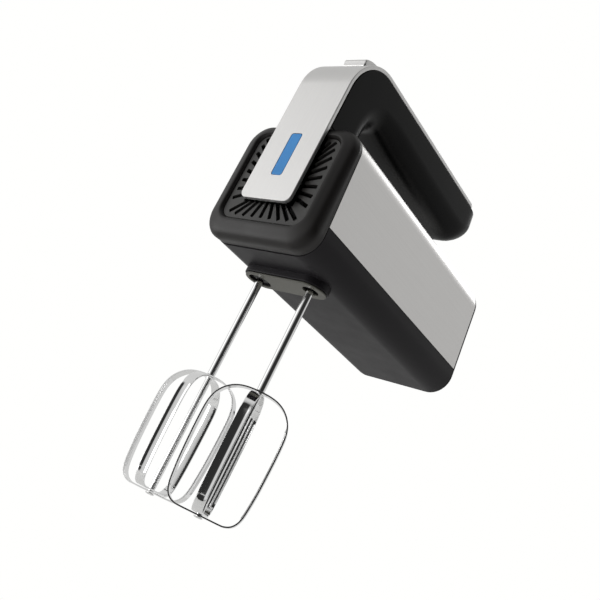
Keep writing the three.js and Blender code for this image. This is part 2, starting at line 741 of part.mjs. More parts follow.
function beaterLoop(inset, angle) {
  const path = loopPath(inset);
  const n = path.length;
  const rings = path.map(([x, z], i) => {
    const before = path[(i + n - 1) % n];
    const after = path[(i + 1) % n];
    const tx = after[0] - before[0];
    const tz = after[1] - before[1];
    const l = Math.hypot(tx, tz);
    const nx = tz / l;
    const nz = -tx / l;
    const t = STRIP_T / 2;
    const w = STRIP_W / 2;
    return [[x + nx * t, -w, z + nz * t], [x + nx * t, w, z + nz * t], [x - nx * t, w, z - nz * t], [x - nx * t, -w, z - nz * t]];
  });
  const hole = rod(BEATER_NECK_R + 0.35, -200, 0, 12);
  return cut(loft(rings, true), hole).rotateZ(THREE.MathUtils.degToRad(angle));
}

function beater(parent, side, x, turn, collar) {
  const group = new THREE.Group();
  group.position.set(x, 0, 0);
  parent.add(group);
  place(group, `beater_shaft_${side}`, beaterShaft(), CHROME);
  place(group, `beater_loop_outer_${side}`, beaterLoop(0, turn), CHROME);
  place(group, `beater_loop_inner_${side}`, beaterLoop(STRIP_T + 0.4, turn + 90), CHROME);
  if (collar) place(group, `beater_collar_${side}`, tube(2.9, 6.2, 1.8, 4.9, 16), BLACK);
}

// ---------- assembly ----------

function buildBody(parent) {
  place(parent, 'lower_housing', lowerHousing(), BLACK);
  place(parent, 'upper_housing', upperHousing(), BLACK);
  place(parent, 'steel_cover', steelCover(), STEEL);
  place(parent, 'front_bezel', frontBezel(), BLACK);
  place(parent, 'vent_grille', ventGrille(), BLACK);
  place(parent, 'rear_cap', rearCap(), BLACK);
  place(parent, 'socket_plate', socketPlate(), OLIVE);
}

function buildHandle(parent) {
  place(parent, 'handle_shell', handleShell(), BLACK);
  place(parent, 'handle_strap', handleStrap(), SILVER);
  place(parent, 'indicator_lens', indicatorLens(), [0x4286c8, 0.2, 0]);
  place(parent, 'speed_slider', speedSlider(), SILVER);
  place(parent, 'speed_switch', speedSwitch(), [0x8a8578, 0.5, 0]);
  place(parent, 'led_board', ledBoard(), [0x2f6b45, 0.5, 0]);
  place(parent, 'control_board', controlBoard(), [0x2f6b45, 0.5, 0]);
}

function buildDrive(parent) {
  place(parent, 'gear_frame', gearFrame(), NYLON);
  place(parent, 'gear_cover', gearCover(), NYLON);
  place(parent, 'field_core', fieldCore(), IRON);
  place(parent, 'rear_bracket', rearBracket(), NYLON);
  place(parent, 'bearing_front', alongY(tube(3.25, 8, -23.8, -18.2), 0, AXIS_Z), BRONZE);
  place(parent, 'bearing_rear', alongY(tube(3.25, 8, 112.6, 118.4), 0, AXIS_Z), BRONZE);
  [['left', -1], ['right', 1]].forEach(([side, s]) => {
    const bush = place(parent, `spindle_bush_${side}`, tube(5.15, 6.15, 12.3, 35.7), BRONZE);
    bush.position.x = s * BEATER_X;
    const gear = place(parent, `spindle_gear_${side}`, spindleGear(s > 0 ? 0.5 : 0), NYLON);
    gear.position.x = s * BEATER_X;
    place(parent, `field_coil_${side}`, fieldCoil(s), COPPER);
    place(parent, `brush_holder_${side}`, brushHolder(s), BRONZE);
    place(parent, `brush_${side}`, brush(s), [0x2b2b2d, 0.7, 0]);
    place(parent, `brush_spring_${side}`, brushSpring(s), STEEL);
    const bolt = place(parent, `motor_bolt_${side}`, turned([[0, 20.9], [1.7, 20.9], [1.7, 122.1], [3.2, 122.1],
      [3.2, 125], [0, 125]], 10), STEEL);
    bolt.rotation.x = -Math.PI / 2;
    bolt.position.set(s * 29.5, 0, AXIS_Z);
  });
  const rotor = new THREE.Group();
  rotor.position.z = AXIS_Z;
  parent.add(rotor);
  place(rotor, 'armature_shaft', armatureShaft(), STEEL);
  place(rotor, 'armature_core', armatureCore(), IRON);
  place(rotor, 'winding_front', winding(51, 59.6), COPPER);
  place(rotor, 'winding_rear', winding(86.4, 95), COPPER);
  place(rotor, 'commutator', commutator(), COPPER);
  place(rotor, 'cooling_fan', coolingFan(), BLACK);
  place(parent, 'ejector_yoke', ejectorYoke(), NYLON);
  const spring = place(parent, 'ejector_spring', ejectorSpring(), STEEL);
  spring.position.set(0, -13, 65.3);
}

function buildScrews(parent) {
  const put = (name, length, x, y, z, rx = 0) => {
    const mesh = place(parent, name, screw(length), STEEL);
    mesh.position.set(x, y, z);
    mesh.rotation.x = rx;
  };
  put('frame_screw_1', 13, -34, -20, 36.3);
  put('frame_screw_2', 13, 34, -20, 36.3);
  put('frame_screw_3', 13, -34, 14, 36.3);
  put('frame_screw_4', 13, 34, 14, 36.3);
  put('cover_screw_1', 9, -30, 22.5, 64.9);
  put('cover_screw_2', 9, 30, 22.5, 64.9);
  put('handle_screw_1', 8, -14, -27, 86.9, Math.PI);
  put('handle_screw_2', 8, 14, -27, 86.9, Math.PI);
  put('rear_screw_1', 12, -28, rearY(22) - 2.9, 22, -Math.PI / 2);
  put('rear_screw_2', 12, 28, rearY(22) - 2.9, 22, -Math.PI / 2);
}

const mixer = new THREE.Group();
const frame = new THREE.Group();
frame.position.set(0, -GRIP_Y, -GRIP_Z);
mixer.add(frame);
buildBody(frame);
buildHandle(frame);
buildDrive(frame);
buildScrews(frame);
beater(frame, 'left', -BEATER_X, LOOP_LEFT_TURN, true);
beater(frame, 'right', BEATER_X, LOOP_RIGHT_TURN, false);

export default mixer;
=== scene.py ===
import bmesh
import bpy
import json
import math
from mathutils import Matrix, Vector

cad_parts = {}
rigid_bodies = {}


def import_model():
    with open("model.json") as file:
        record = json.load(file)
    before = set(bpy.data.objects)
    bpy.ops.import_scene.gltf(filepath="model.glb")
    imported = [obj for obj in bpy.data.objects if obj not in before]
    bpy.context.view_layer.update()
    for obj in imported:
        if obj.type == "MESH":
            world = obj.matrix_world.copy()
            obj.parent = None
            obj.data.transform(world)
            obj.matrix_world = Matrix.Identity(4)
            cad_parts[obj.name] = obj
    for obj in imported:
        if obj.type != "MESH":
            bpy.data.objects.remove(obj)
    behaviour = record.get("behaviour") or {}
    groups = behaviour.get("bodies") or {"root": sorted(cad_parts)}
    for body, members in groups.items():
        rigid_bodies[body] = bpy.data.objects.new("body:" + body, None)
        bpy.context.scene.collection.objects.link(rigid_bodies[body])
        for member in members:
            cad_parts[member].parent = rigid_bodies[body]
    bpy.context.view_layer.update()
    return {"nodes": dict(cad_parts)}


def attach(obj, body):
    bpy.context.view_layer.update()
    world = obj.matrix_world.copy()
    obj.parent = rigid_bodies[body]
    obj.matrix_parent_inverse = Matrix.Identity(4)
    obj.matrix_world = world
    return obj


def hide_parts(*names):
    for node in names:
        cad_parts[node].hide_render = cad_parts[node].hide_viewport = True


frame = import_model()
bpy.ops.object.select_all(action="DESELECT")
scene = bpy.context.scene
scene.view_settings.view_transform = "Standard"

# ---------------------------------------------------------------------------------------------
# Camera, a pale floor well below the beaters, and plain soft studio light: a white room with a
# dim corner to the front right, two soft boxes at the left and one behind, overhead.
# ---------------------------------------------------------------------------------------------

camera = bpy.data.objects.new("camera", bpy.data.cameras.new("camera"))
camera.data.lens = 50.49
camera.data.sensor_width = 36.0
camera.matrix_world = Matrix((
    (0.7482, -0.1631, 0.6431, 0.35705),
    (0.5059, -0.4869, -0.7121, -0.43603),
    (0.4292, 0.8581, -0.2818, -0.29191),
    (0.0, 0.0, 0.0, 1.0),
))
scene.collection.objects.link(camera)
scene.camera = camera

room = bpy.data.worlds.new("white_room")
scene.world = room
room.use_nodes = True
nodes, links = room.node_tree.nodes, room.node_tree.links
nodes.clear()
direction = nodes.new("ShaderNodeTexCoord")
towards = nodes.new("ShaderNodeVectorMath")
towards.operation = "DOT_PRODUCT"
towards.inputs[1].default_value = (0.86, -0.50, 0.05)
dim = nodes.new("ShaderNodeMapRange")
dim.interpolation_type = "SMOOTHSTEP"
dim.inputs["From Min"].default_value = 0.28
dim.inputs["From Max"].default_value = 0.82
dim.inputs["To Min"].default_value = 0.72
dim.inputs["To Max"].default_value = 0.03
links.new(direction.outputs["Generated"], towards.inputs[0])
links.new(towards.outputs["Value"], dim.inputs["Value"])
seen = nodes.new("ShaderNodeLightPath")
level = nodes.new("ShaderNodeMix")
level.data_type = "FLOAT"
level.inputs["B"].default_value = 1.0
light = nodes.new("ShaderNodeBackground")
light.inputs["Color"].default_value = (1.0, 1.0, 0.99, 1.0)
out = nodes.new("ShaderNodeOutputWorld")
links.new(dim.outputs["Result"], level.inputs["A"])
links.new(seen.outputs["Is Camera Ray"], level.inputs["Factor"])
links.new(level.outputs["Result"], light.inputs["Strength"])
links.new(light.outputs["Background"], out.inputs["Surface"])


def soft_box(name, place, wide, high, power):
    """A rectangular soft box that faces the mixer."""
    data = bpy.data.lights.new(name, "AREA")
    data.shape = "RECTANGLE"
    data.size = wide
    data.size_y = high
    data.energy = power
    lamp = bpy.data.objects.new(name, data)
    lamp.location = place
    lamp.rotation_euler = (-Vector(place)).to_track_quat("-Z", "Y").to_euler()
    scene.collection.objects.link(lamp)


soft_box("box_left", (-0.95, -1.0, 0.1), 1.0, 1.3, 2.6)
soft_box("box_low", (-0.75, -0.75, -0.45), 0.7, 0.7, 5.2)
soft_box("box_above", (-0.2, 1.1, 0.88), 1.0, 0.6, 4.6)

bpy.ops.mesh.primitive_circle_add(vertices=96, radius=1.15, fill_type="NGON", location=(0, 0, -0.6))
floor = bpy.context.object
floor.name = "floor"
pale = bpy.data.materials.new("pale_floor")
pale.use_nodes = True
pale.node_tree.nodes["Principled BSDF"].inputs["Base Color"].default_value = (0.86, 0.86, 0.85, 1.0)
pale.node_tree.nodes["Principled BSDF"].inputs["Roughness"].default_value = 0.7
floor.data.materials.append(pale)

# ---------------------------------------------------------------------------------------------
# Lower housing: the black tub under the motor, moulded in one piece with the boss that the two
# beaters enter. Its screw posts stand inside and hold the gear frame.
# ---------------------------------------------------------------------------------------------

MM = 0.001
HALF, BOTTOM, TOP = 45.0, 5.7, 90.3
BEATER_X = 22.0
FRAME_SCREW_X, FRAME_SCREW_Y = (-34, 34), (-20, 14)
REAR_SCREW_X = (-28, 28)
FRONT_LEAN = 0.07
REAR_LEAN = 0.13
FRONT_FOOT = -33.8
REAR_FOOT = 164.2


def at(x, y, z):
    """Millimetres from the middle of the beater sockets, as metres from the middle of the grip."""
    return Vector((x, y - 60.0, z - 136.0)) * MM


def only(piece):
    bpy.ops.object.select_all(action="DESELECT")
    piece.select_set(True)
    bpy.context.view_layer.objects.active = piece


def begin(name):
    """A new piece at the origin, open for modelling."""
    bpy.ops.object.select_all(action="DESELECT")
    bpy.ops.object.add(type="MESH", location=(0, 0, 0))
    piece = bpy.context.object
    piece.name = piece.data.name = name
    bpy.ops.object.mode_set(mode="EDIT")
    return piece


def pick(test, kind="VERT"):
    """Selects the corners, edges or faces of the open piece that pass the test."""
    bpy.ops.mesh.select_mode(type=kind)
    bpy.ops.mesh.select_all(action="DESELECT")
    shape = bmesh.from_edit_mesh(bpy.context.edit_object.data)
    parts = {"VERT": shape.verts, "EDGE": shape.edges, "FACE": shape.faces}[kind]
    for part in parts:
        if test(part):
            part.select_set(True)
    shape.select_flush_mode()
    bmesh.update_edit_mesh(bpy.context.edit_object.data)


def end():
    """Turns the faces of the open piece outwards and closes it."""
    bpy.ops.mesh.select_mode(type="VERT")
    bpy.ops.mesh.select_all(action="SELECT")
    bpy.ops.mesh.normals_make_consistent(inside=False)
    bpy.ops.object.mode_set(mode="OBJECT")


def block(x, y, z):
    """Adds a block between two limits on each axis."""
    middle = at(sum(x) / 2, sum(y) / 2, sum(z) / 2)
    size = ((x[1] - x[0]) * MM, (y[1] - y[0]) * MM, (z[1] - z[0]) * MM)
    bpy.ops.mesh.primitive_cube_add(size=1.0, location=middle, scale=size)


def pin(x, y, low, high, radius, sides=24):
    """Adds an upright round pin."""
    bpy.ops.mesh.primitive_cylinder_add(vertices=sides, radius=radius * MM, depth=(high - low) * MM,
                                        location=at(x, y, (low + high) / 2))


def apply_to(piece, kind, **settings):
    only(piece)
    bpy.ops.object.modifier_add(type=kind)
    step = piece.modifiers[-1]
    for key, value in settings.items():
        setattr(step, key, value)
    bpy.ops.object.modifier_apply(modifier=step.name)


def carve(piece, tool, operation="DIFFERENCE"):
    """Cuts a tool out of a piece, or joins it on, and takes the tool away."""
    apply_to(piece, "BOOLEAN", object=tool, operation=operation, solver="EXACT")
    bpy.data.objects.remove(tool)


def soften(piece, width, angle=38.0, segments=2):
    """Rounds the sharp edges by the moulding radius and shades the rest smooth."""
    if width:
        apply_to(piece, "BEVEL", width=width * MM, segments=segments, limit_method="ANGLE",
                 angle_limit=math.radians(angle), miter_outer="MITER_ARC")
    only(piece)
    bpy.ops.object.shade_smooth_by_angle(angle=math.radians(angle))
    apply_to(piece, "WEIGHTED_NORMAL", keep_sharp=True, weight=60)


def trim_ends(front, rear):
    """Cuts the open piece to the leaning front and rear planes of the body."""
    bpy.ops.mesh.select_all(action="SELECT")
    bpy.ops.mesh.bisect(plane_co=at(0, front, 0), plane_no=(0, -1, -FRONT_LEAN), clear_outer=True)
    bpy.ops.mesh.select_all(action="SELECT")
    bpy.ops.mesh.bisect(plane_co=at(0, rear, 0), plane_no=(0, 1, REAR_LEAN), clear_outer=True)


def runs_back(edge):
    return abs(edge.verts[0].co.y - edge.verts[1].co.y) > 0.1


def outline(middle, wide, deep, near, far, lean=90.0, steps=6, before=None):
    """Adds a rounded rectangle, wide along X, with near and far corner radii, and skins it to the last."""
    place = at(*middle)
    turn = math.radians(lean)
    up = Vector((0.0, math.cos(turn), math.sin(turn)))
    bpy.ops.mesh.primitive_plane_add(size=1.0, location=place, rotation=(turn, 0, 0))
    shape = bmesh.from_edit_mesh(bpy.context.edit_object.data)
    for v in shape.verts:
        if v.select:
            off = v.co - place
            v.co = place + Vector((off.x * wide * MM, 0, 0)) + up * (off.dot(up) * deep * MM)
    bmesh.update_edit_mesh(bpy.context.edit_object.data)
    for side, radius in ((-0.5, near), (0.5, far)):
        corners = [place + Vector((s * wide * MM, 0, 0)) + up * side * deep * MM for s in (-0.5, 0.5)]
        pick(lambda v: any((v.co - c).length < 2e-6 for c in corners))
        bpy.ops.mesh.bevel(offset=radius * MM, segments=steps, affect="VERTICES")
    return skin(before)


def skin(before):
    """Opens the outline just added and bridges it to the one before."""
    bpy.ops.mesh.select_linked()
    shape = bmesh.from_edit_mesh(bpy.context.edit_object.data)
    ring = {v.co.to_tuple() for v in shape.verts if v.select}
    bpy.ops.mesh.delete(type="ONLY_FACE")
    if before:
        bridge(before, ring)
    return ring


def bridge(one, other):
    pick(lambda v: v.co.to_tuple() in one or v.co.to_tuple() in other)
    bpy.ops.mesh.bridge_edge_loops()


def cap(ring):
    pick(lambda v: v.co.to_tuple() in ring)
    bpy.ops.mesh.edge_face_add()


def between(rows, steps):
    """Rows of sizes with smooth rows in between."""
    smooth = []
    for i in range(len(rows) - 1):
        a, b, c, d = (rows[min(max(k, 0), len(rows) - 1)] for k in (i - 1, i, i + 1, i + 2))
        for s in range(steps):
            t = s / steps
            smooth.append([0.5 * (2 * q + (r - p) * t + (2 * p - 5 * q + 4 * r - e) * t * t
                                  + (3 * q - p - 3 * r + e) * t ** 3) for p, q, r, e in zip(a, b, c, d)])
    smooth.append(list(rows[-1]))
    return smooth


tub = begin("housing_tub")
block((-HALF, HALF), (-60, 175), (BOTTOM, 27.2))
pick(lambda e: runs_back(e) and e.verts[0].co.z < at(0, 0, 15).z, "EDGE")
bpy.ops.mesh.bevel(offset=16.5 * MM, segments=14, affect="EDGES")
trim_ends(FRONT_FOOT, REAR_FOOT - 2.3)
pick(lambda f: f.normal.z > 0.99, "FACE")
bpy.ops.mesh.delete(type="FACE")
end()
apply_to(tub, "SOLIDIFY", thickness=2.5 * MM, offset=-1.0, use_even_offset=True)

boss = begin("boss")
ring = outline((0, 0, 1.3), 66.0, 22.0, 10.99, 10.99, lean=0, steps=14)
first = ring
ring = outline((0, 0, 1.5), 66.8, 22.8, 11.39, 11.39, lean=0, steps=14, before=ring)
ring = outline((0, 0, 2.0), 67.2, 23.2, 11.59, 11.59, lean=0, steps=14, before=ring)
ring = outline((0, 0, 6.9), 67.2, 23.2, 11.59, 11.59, lean=0, steps=14, before=ring)
cap(first)
cap(ring)
end()
carve(tub, boss, "UNION")

posts = begin("posts")
for x in FRAME_SCREW_X:
    for y in FRAME_SCREW_Y:
        pin(x, y, 10, 32.7, 4)
for x in REAR_SCREW_X:
    block((x - 5, x + 5), (141, 152.8), (7.6, 27))
end()
carve(tub, posts, "UNION")

bores = begin("bores")
pin(-BEATER_X, 0, -1, 12, 8.6, 48)
pin(BEATER_X, 0, -1, 12, 6.6, 48)
for x in FRAME_SCREW_X:
    for y in FRAME_SCREW_Y:
        pin(x, y, 22, 40, 1.6)
end()
carve(tub, bores)
soften(tub, 0.35)


def node_group(name, inputs, outputs):
    """An empty shader group with named sockets, and its input and output nodes."""
    group = bpy.data.node_groups.new(name, "ShaderNodeTree")
    for label, kind, value in inputs:
        socket = group.interface.new_socket(label, in_out="INPUT", socket_type=kind)
        if value is not None:
            socket.default_value = value
    for label, kind in outputs:
        group.interface.new_socket(label, in_out="OUTPUT", socket_type=kind)
    return group, group.nodes.new("NodeGroupInput"), group.nodes.new("NodeGroupOutput")


def cloud(group, vector, scale, detail, roughness=0.55):
    """A noise in a group, at a scale that is a number or a socket."""
    noise = group.nodes.new("ShaderNodeTexNoise")
    noise.inputs["Detail"].default_value = detail
    noise.inputs["Roughness"].default_value = roughness
    group.links.new(vector, noise.inputs["Vector"])
    if isinstance(scale, (int, float)):
        noise.inputs["Scale"].default_value = scale
    else:
        group.links.new(scale, noise.inputs["Scale"])
    return noise.outputs["Fac"]


def spread(group, value, low, high):
    """A noise value stretched from its own middle range to low and high, numbers or sockets."""
    stretch = group.nodes.new("ShaderNodeMapRange")
    stretch.inputs["From Min"].default_value = 0.3
    stretch.inputs["From Max"].default_value = 0.7
    group.links.new(value, stretch.inputs["Value"])
    for label, limit in (("To Min", low), ("To Max", high)):
        if isinstance(limit, (int, float)):
            stretch.inputs[label].default_value = limit
        else:
            group.links.new(limit, stretch.inputs[label])
    return stretch.outputs["Result"]


def mixed(group, factor, one, other):
    """Two colours mixed by a factor; the colour sockets of a mix come after its number and vector ones."""
    mix = group.nodes.new("ShaderNodeMix")
    mix.data_type = "RGBA"
    colour_a, colour_b, colour_out = 6, 7, 2
    group.links.new(factor, mix.inputs["Factor"])
    group.links.new(one, mix.inputs[colour_a])
    group.links.new(other, mix.inputs[colour_b])
    return mix.outputs[colour_out]


# Moulded skin: the fine sparked texture of the tool, with broad marks of handling over it.
skin_group, given, made = node_group(
    "moulded_skin",
    [("Vector", "NodeSocketVector", None), ("Grain", "NodeSocketFloat", 1800.0),
     ("Dark", "NodeSocketColor", (0, 0, 0, 1)), ("Light", "NodeSocketColor", (1, 1, 1, 1)),
     ("Gloss", "NodeSocketFloat", 0.4), ("Matt", "NodeSocketFloat", 0.5)],
    [("Colour", "NodeSocketColor"), ("Roughness", "NodeSocketFloat"), ("Height", "NodeSocketFloat")])
grain = cloud(skin_group, given.outputs["Vector"], given.outputs["Grain"], 3.0)
marks = cloud(skin_group, given.outputs["Vector"], 34.0, 4.0, 0.6)
blend = spread(skin_group, marks, 0.0, 1.0)
skin_group.links.new(mixed(skin_group, blend, given.outputs["Dark"], given.outputs["Light"]),
                     made.inputs["Colour"])
skin_group.links.new(spread(skin_group, marks, given.outputs["Gloss"], given.outputs["Matt"]),
                     made.inputs["Roughness"])
skin_group.links.new(grain, made.inputs["Height"])


def material(name, group, values, bump, distance=0.0001, **constants):
    """A finish whose colour, roughness and relief come from a group; constants go on the shader itself."""
    finish = bpy.data.materials.new(name)
    finish.use_nodes = True
    tree = finish.node_tree
    shader = tree.nodes["Principled BSDF"]
    place = tree.nodes.new("ShaderNodeTexCoord")
    effect = tree.nodes.new("ShaderNodeGroup")
    effect.node_tree = group
    tree.links.new(place.outputs["Object"], effect.inputs["Vector"])
    for label, value in values.items():
        effect.inputs[label].default_value = value
    tree.links.new(effect.outputs["Colour"], shader.inputs["Base Color"])
    tree.links.new(effect.outputs["Roughness"], shader.inputs["Roughness"])
    relief = tree.nodes.new("ShaderNodeBump")
    relief.inputs["Strength"].default_value = bump
    relief.inputs["Distance"].default_value = distance
    tree.links.new(effect.outputs["Height"], relief.inputs["Height"])
    tree.links.new(relief.outputs["Normal"], shader.inputs["Normal"])
    for label, value in constants.items():
        shader.inputs[label.replace("_", " ")].default_value = value
    return finish


def grey(level, warm=0.0):
    """A linear colour near grey, warmer or colder."""
    return (level * (1 + warm), level, level * (1 - warm), 1.0)


black_shell = material("black_shell", skin_group,
                       {"Grain": 1500.0, "Dark": (0.0118, 0.0106, 0.0124, 1),
                        "Light": (0.0146, 0.0132, 0.0154, 1), "Gloss": 0.40, "Matt": 0.48},
                       0.2, Specular_IOR_Level=0.13)


def settle(piece, finish, slot, body, *cad_nodes):
    """Gives a finished piece its material and its body, and hides the nodes that it stands for; the slot is
    not used.
    """
    piece.data.materials.clear()
    piece.data.materials.append(finish)
    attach(piece, body)
    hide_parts(*cad_nodes)


settle(tub, black_shell, "black_shell", "housing", "lower_housing")

# ---------------------------------------------------------------------------------------------
# Socket plate: the olive-grey plate on the boss that frames the two beater sockets, the left one
# wider for the beater with the collar.
# ---------------------------------------------------------------------------------------------

plate = begin("beater_socket_plate")
first = ring = outline((0, 0, 0.0), 64.4, 20.4, 10.19, 10.19, lean=0, steps=14)
ring = outline((0, 0, 0.3), 65.2, 21.2, 10.59, 10.59, lean=0, steps=14, before=ring)
ring = outline((0, 0, 1.0), 65.2, 21.2, 10.59, 10.59, lean=0, steps=14, before=ring)
cap(first)
cap(ring)
end()
holes = begin("holes")
pin(-BEATER_X, 0, -2, 4, 8.0, 48)
pin(BEATER_X, 0, -2, 4, 5.6, 48)
end()
carve(plate, holes)
soften(plate, 0.15)
olive_plastic = material("olive_plastic", skin_group,
                         {"Grain": 1400.0, "Dark": (0.068, 0.066, 0.054, 1),
                          "Light": (0.086, 0.084, 0.069, 1), "Gloss": 0.42, "Matt": 0.52}, 0.2)
settle(plate, olive_plastic, "socket_grey", "housing", "socket_plate")

# ---------------------------------------------------------------------------------------------
# Steel cover: one brushed stainless sheet, 0.8 mm, folded over the sides and top of the body, on
# the black moulded carrier that it is clipped to.
# ---------------------------------------------------------------------------------------------


def hood(name, inset, wall):
    """An inverted U over the motor, open below and at both ends."""
    piece = begin(name)
    block((-HALF + inset, HALF - inset), (-60, 175), (27.6, TOP - inset))
    pick(lambda e: runs_back(e) and e.verts[0].co.z > at(0, 0, 60).z, "EDGE")
    bpy.ops.mesh.bevel(offset=(14.7 - inset) * MM, segments=16, affect="EDGES")
    trim_ends(FRONT_FOOT, REAR_FOOT - 2.3)
    pick(lambda f: f.normal.z < -0.99, "FACE")
    bpy.ops.mesh.delete(type="FACE")
    end()
    apply_to(piece, "SOLIDIFY", thickness=wall * MM, offset=-1.0, use_even_offset=True)
    passage = begin("passage")
    block((-7, 7), (-36.5, -22.5), (80, 99))
    for x in (-14, 14):
        pin(x, -27, 80, 95, 1.9)
    end()
    carve(piece, passage)
    return piece


cover = hood("brushed_cover", 0.0, 0.8)
soften(cover, 0.18)
carrier = hood("cover_carrier", 1.1, 2.0)
soften(carrier, 0.3)

# Brushed metal: long fine scratches along one way of the part, broad smudges over them.
brush_group, given, made = node_group(
    "brushed_metal",
    [("Vector", "NodeSocketVector", None), ("Lines", "NodeSocketVector", (1, 1, 1)),
     ("Dark", "NodeSocketColor", (0, 0, 0, 1)), ("Light", "NodeSocketColor", (1, 1, 1, 1)),
     ("Gloss", "NodeSocketFloat", 0.25), ("Matt", "NodeSocketFloat", 0.4)],
    [("Colour", "NodeSocketColor"), ("Roughness", "NodeSocketFloat"), ("Height", "NodeSocketFloat")])
stretched = brush_group.nodes.new("ShaderNodeVectorMath")
stretched.operation = "MULTIPLY"
brush_group.links.new(given.outputs["Vector"], stretched.inputs[0])
brush_group.links.new(given.outputs["Lines"], stretched.inputs[1])
lines = cloud(brush_group, stretched.outputs["Vector"], 1.0, 4.0, 0.65)
marks = cloud(brush_group, given.outputs["Vector"], 22.0, 3.0)
blend = spread(brush_group, lines, 0.0, 1.0)
brush_group.links.new(mixed(brush_group, blend, given.outputs["Dark"], given.outputs["Light"]),
                      made.inputs["Colour"])
both = brush_group.nodes.new("ShaderNodeMath")
both.operation = "MULTIPLY_ADD"
brush_group.links.new(lines, both.inputs[0])
both.inputs[1].default_value = 0.6
faint = brush_group.nodes.new("ShaderNodeMath")
faint.operation = "MULTIPLY"
faint.inputs[1].default_value = 0.4
brush_group.links.new(marks, faint.inputs[0])
brush_group.links.new(faint.outputs["Value"], both.inputs[2])
sheen = spread(brush_group, both.outputs["Value"], given.outputs["Gloss"], given.outputs["Matt"])
brush_group.links.new(sheen, made.inputs["Roughness"])
brush_group.links.new(lines, made.inputs["Height"])

brushed_steel = material("brushed_steel", brush_group,
                         {"Lines": (1500.0, 16.0, 1500.0), "Dark": grey(0.575, 0.014),
                          "Light": grey(0.61, 0.014), "Gloss": 0.28, "Matt": 0.34}, 0.025, Metallic=1.0)
settle(cover, brushed_steel, "cover_steel", "housing", "steel_cover")
inner_black = material("inner_black", skin_group,
                       {"Grain": 900.0, "Dark": grey(0.012), "Light": grey(0.018),
                        "Gloss": 0.5, "Matt": 0.65}, 0.3)
settle(carrier, inner_black, "inner_black", "housing", "upper_housing")

# ---------------------------------------------------------------------------------------------
# Front bezel: a black frame that closes the nose of the body. Its face rolls in to a flat rim
# round the vent recess, and the handle's tongue drops into the notch at its top.
# ---------------------------------------------------------------------------------------------


def leaning(row, steps, before):
    """One outline of the nose: half width, low, high, low radius, high radius, y at z 0, lean of y with z."""
    half, low, high, r_low, r_high, y, slope = row
    middle = (low + high) / 2
    deep = (high - low) * math.hypot(1.0, slope)
    return outline((0, y + slope * middle, middle), 2 * half, deep, r_low, r_high,
                   lean=math.degrees(math.atan2(1.0, slope)), steps=steps, before=before)


bezel = begin("nose_bezel")
lip = [
    [44.4, 6.8, 89.8, 15.0, 14.2, -34.1, -0.07],
    [44.85, 6.35, 90.2, 15.3, 14.6, -34.25, -0.07],
    [45.0, 6.2, 90.3, 15.5, 14.7, -34.6, -0.07],
]
roll = between([
    [45.05, 6.15, 90.3, 15.5, 14.8, -36.6, -0.06],
    [45.2, 5.9, 90.3, 15.5, 15.0, -42.6, -0.005],
    [43.4, 8.4, 89.6, 15.0, 14.5, -46.5, 0.0],
    [39.2, 13.8, 87.0, 12.7, 12.7, -48.5, 0.0],
    [37.2, 16.0, 85.3, 11.0, 11.0, -49.1, 0.0],
], 4)
rim = [
    [36.4, 16.8, 84.6, 10.2, 10.2, -49.25, 0.0],
    [35.7, 17.5, 83.9, 9.5, 9.5, -49.05, 0.0],
    [35.3, 17.9, 83.6, 9.1, 9.1, -48.6, 0.0],
    [34.8, 18.4, 83.1, 8.6, 8.6, -47.9, 0.0],
    [34.5, 18.7, 82.8, 8.35, 8.35, -47.4, 0.0],
    [34.3, 18.9, 82.6, 8.2, 8.2, -46.8, 0.0],
    [34.3, 18.9, 82.6, 8.2, 8.2, -42.0, 0.0],
    [39.5, 12.5, 86.8, 10.0, 10.0, -42.0, 0.0],
    [42.4, 8.9, 87.7, 12.5, 12.0, -34.1, -0.07],
]
first = ring = None
for row in lip + roll + rim:
    ring = leaning(row, 12, ring)
    first = first or ring
bridge(ring, first)
end()
notch = begin("notch")
block((-20.6, 20.6), (-60, -44.2), (76, 95))
end()
carve(bezel, notch)
soften(bezel, 0.0)
bezel_black = material("bezel_black", skin_group,
                       {"Grain": 1300.0, "Dark": (0.0078, 0.0068, 0.0066, 1),
                        "Light": (0.0118, 0.0100, 0.0096, 1), "Gloss": 0.42, "Matt": 0.50},
                       0.35, Specular_IOR_Level=0.30)
settle(bezel, bezel_black, "black_shell", "housing", "front_bezel")

# ---------------------------------------------------------------------------------------------
# Vent grille: a black louvre plate set in the bezel. Its slots fan out from behind the strap and
# let the motor's cooling air out, and a pocket in its face clears the handle's tongue.
# ---------------------------------------------------------------------------------------------

grille = begin("louvre_plate")
first = ring = outline((0, -46.9, 50.75), 68.0, 63.1, 7.9, 7.9, steps=8)
ring = outline((0, -42.3, 50.75), 68.0, 63.1, 7.9, 7.9, steps=8, before=ring)
cap(first)
cap(ring)
end()
pocket = begin("pocket")
block((-20.7, 20.7), (-60, -44.3), (32.1, 95))
end()
carve(grille, pocket)
slots = begin("slots")
marks = [(s * 21.0, 75.5 - i * 4.75) for s in (1, -1) for i in range(9)]
marks += [(-18.0 + i * 4.5, 31.5) for i in range(9)]
for x, z in marks:
    turn = math.atan2(z - 46.0, x)
    to_side = (31.6 - abs(x)) / max(abs(math.cos(turn)), 1e-6)
    to_end = (z - 21.4) / -math.sin(turn) if math.sin(turn) < 0 else (80.1 - z) / max(math.sin(turn), 1e-6)
    reach = min(to_side, to_end, 13.0)
    start = -2.2
    centre = (start + reach) / 2
    bpy.ops.mesh.primitive_cube_add(
        size=1.0, location=at(x + centre * math.cos(turn), -44.0, z + centre * math.sin(turn)),
        rotation=(0, -turn, 0), scale=((reach - start) * MM, 12 * MM, 2.75 * MM))
pick(lambda e: abs(e.verts[0].co.y - e.verts[1].co.y) > 0.007, "EDGE")
bpy.ops.mesh.bevel(offset=0.6 * MM, segments=3, affect="EDGES")
end()
carve(grille, slots)
soften(grille, 0.25)
